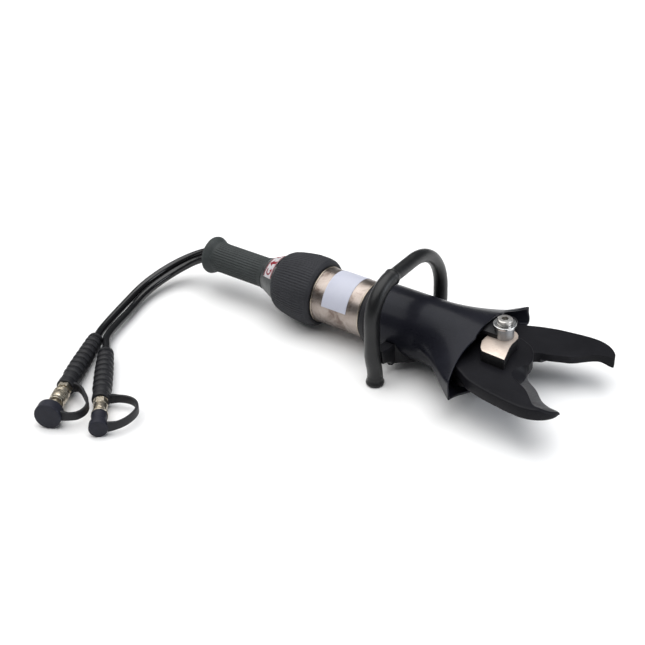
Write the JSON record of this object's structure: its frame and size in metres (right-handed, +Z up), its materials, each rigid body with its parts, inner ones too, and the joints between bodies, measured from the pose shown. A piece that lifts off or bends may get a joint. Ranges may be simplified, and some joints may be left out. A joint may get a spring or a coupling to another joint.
{
  "type": "rescue cutter",
  "caption": "Hand-held hydraulic rescue cutter with curved blades on a pivot bolt, driven by a piston through links, with a twist control ring, carry handle, hoses and capped couplings.",
  "frame": {"origin": "middle of the tool's length and width, on the floor under it", "axes": "+X along the cylinder axis from the rear grip to the blade tips, +Z up, -Y the side that the hoses lie on"},
  "size_m": [0.7298, 0.5451, 0.1655],
  "materials": {
    "grip_rubber": "ribbed matt rubber",
    "ring_rubber": "ribbed matt rubber",
    "black_rubber": "smooth rubber",
    "hose_rubber": "glossy hose cover",
    "plated": "warm plated, brushed round",
    "neck_metal": "satin",
    "steel": "machined",
    "bright_steel": "ground bright",
    "bolt_steel": "plated",
    "black_paint": "gloss black",
    "blade_black": "blackened steel with a ground bevel",
    "gold_metal": "yellow plated",
    "bronze": "bearing bronze",
    "label_white": "blank film"
  },
  "bodies": {
    "tool_body": {"rear_grip": "grip_rubber", "grip_tube": "neck_metal", "hose_gland": "black_rubber", "valve_body": "neck_metal", "centring_spring": "steel", "direction_band": "label_white", "rear_cap": "neck_metal", "barrel": "plated", "barrel_label": "label_white", "front_gland": "bronze", "rod_seal": "black_rubber", "pivot_bush": "bronze", "pivot_bolt": "bolt_steel", "pivot_washer_top": "bolt_steel", "pivot_washer_bottom": "bolt_steel", "pivot_nut": "bolt_steel", "yoke": "steel", "shroud": "black_paint", "shroud_clamp": "black_rubber", "carry_handle": "black_rubber", "handle_foot_near": "black_rubber", "handle_foot_far": "black_rubber", "handle_bracket_near": "black_paint", "handle_bracket_far": "black_paint", "bracket_screw_near": "black_paint", "bracket_screw_far": "black_paint", "hose_supply": "hose_rubber", "hose_return": "hose_rubber", "bend_sleeve_supply": "black_rubber", "bend_sleeve_return": "black_rubber", "coupling_female": "gold_metal", "coupling_male": "gold_metal", "strap_collar_female": "black_rubber", "strap_collar_male": "black_rubber", "strap_female": "black_rubber", "strap_male": "black_rubber"},
    "control": {"control_ring": "ring_rubber", "valve_spool": "steel", "drive_pin": "steel"},
    "ram": {"piston": "steel", "piston_seal": "black_rubber", "piston_rod": "bright_steel", "piston_nut": "steel", "crosshead": "steel", "crosshead_pin_near": "bolt_steel", "crosshead_pin_far": "bolt_steel"},
    "near_link": {"link_near": "steel"},
    "far_link": {"link_far": "steel"},
    "near_blade": {"blade_near": "blade_black", "tail_pin_near": "bolt_steel", "thrust_plate": "bright_steel"},
    "far_blade": {"blade_far": "blade_black", "tail_pin_far": "bolt_steel", "thrust_washer": "bright_steel"},
    "lock": {"lock_sleeve": "gold_metal"},
    "female_cap": {"cap_female": "black_rubber"},
    "male_cap": {"cap_male": "black_rubber"}
  },
  "joints": [
    {"name": "rod_slide", "type": "slide", "parent": "tool_body", "child": "ram", "axis": [1, 0, 0], "range_m": [0, 0.03557]},
    {"name": "near_blade_pivot", "type": "hinge", "parent": "tool_body", "child": "near_blade", "pos_m": [0.19725, 0, 0.0575], "axis": [0, 0, 1], "range_deg": [0, 29]},
    {"name": "far_blade_pivot", "type": "hinge", "parent": "tool_body", "child": "far_blade", "pos_m": [0.19725, 0, 0.0575], "axis": [0, 0, -1], "range_deg": [0, 29]},
    {"name": "near_link_pivot", "type": "hinge", "parent": "ram", "child": "near_link", "pos_m": [0.09772, -0.016, 0.0575], "axis": [0, 0, -1], "range_deg": [0, 4.32]},
    {"name": "far_link_pivot", "type": "hinge", "parent": "ram", "child": "far_link", "pos_m": [0.09772, 0.016, 0.0575], "axis": [0, 0, 1], "range_deg": [0, 4.32]},
    {"name": "control_ring_twist", "type": "hinge", "parent": "tool_body", "child": "control", "pos_m": [-0.17875, 0, 0.0575], "axis": [1, 0, 0], "range_deg": [-30, 30], "stiffness_Nm_per_rad": 1.5},
    {"name": "lock_sleeve_slide", "type": "slide", "parent": "tool_body", "child": "lock", "axis": [-0.4151, 0.9091, -0.0345], "range_m": [0, 0.0035], "stiffness_N_per_m": 2000},
    {"name": "female_cap_pull", "type": "slide", "parent": "tool_body", "child": "female_cap", "axis": [0.4151, -0.9091, 0.0345], "range_m": [0, 0.026]},
    {"name": "male_cap_pull", "type": "slide", "parent": "tool_body", "child": "male_cap", "axis": [0.6353, -0.7723, 0], "range_m": [0, 0.034]}
  ],
  "couplings": [
    {"joint": "near_blade_pivot", "follows": "rod_slide", "rad_per_m": 14.229},
    {"joint": "far_blade_pivot", "follows": "rod_slide", "rad_per_m": 14.229},
    {"joint": "near_link_pivot", "follows": "rod_slide", "rad_per_m": 2.114},
    {"joint": "far_link_pivot", "follows": "rod_slide", "rad_per_m": 2.114}
  ]
}
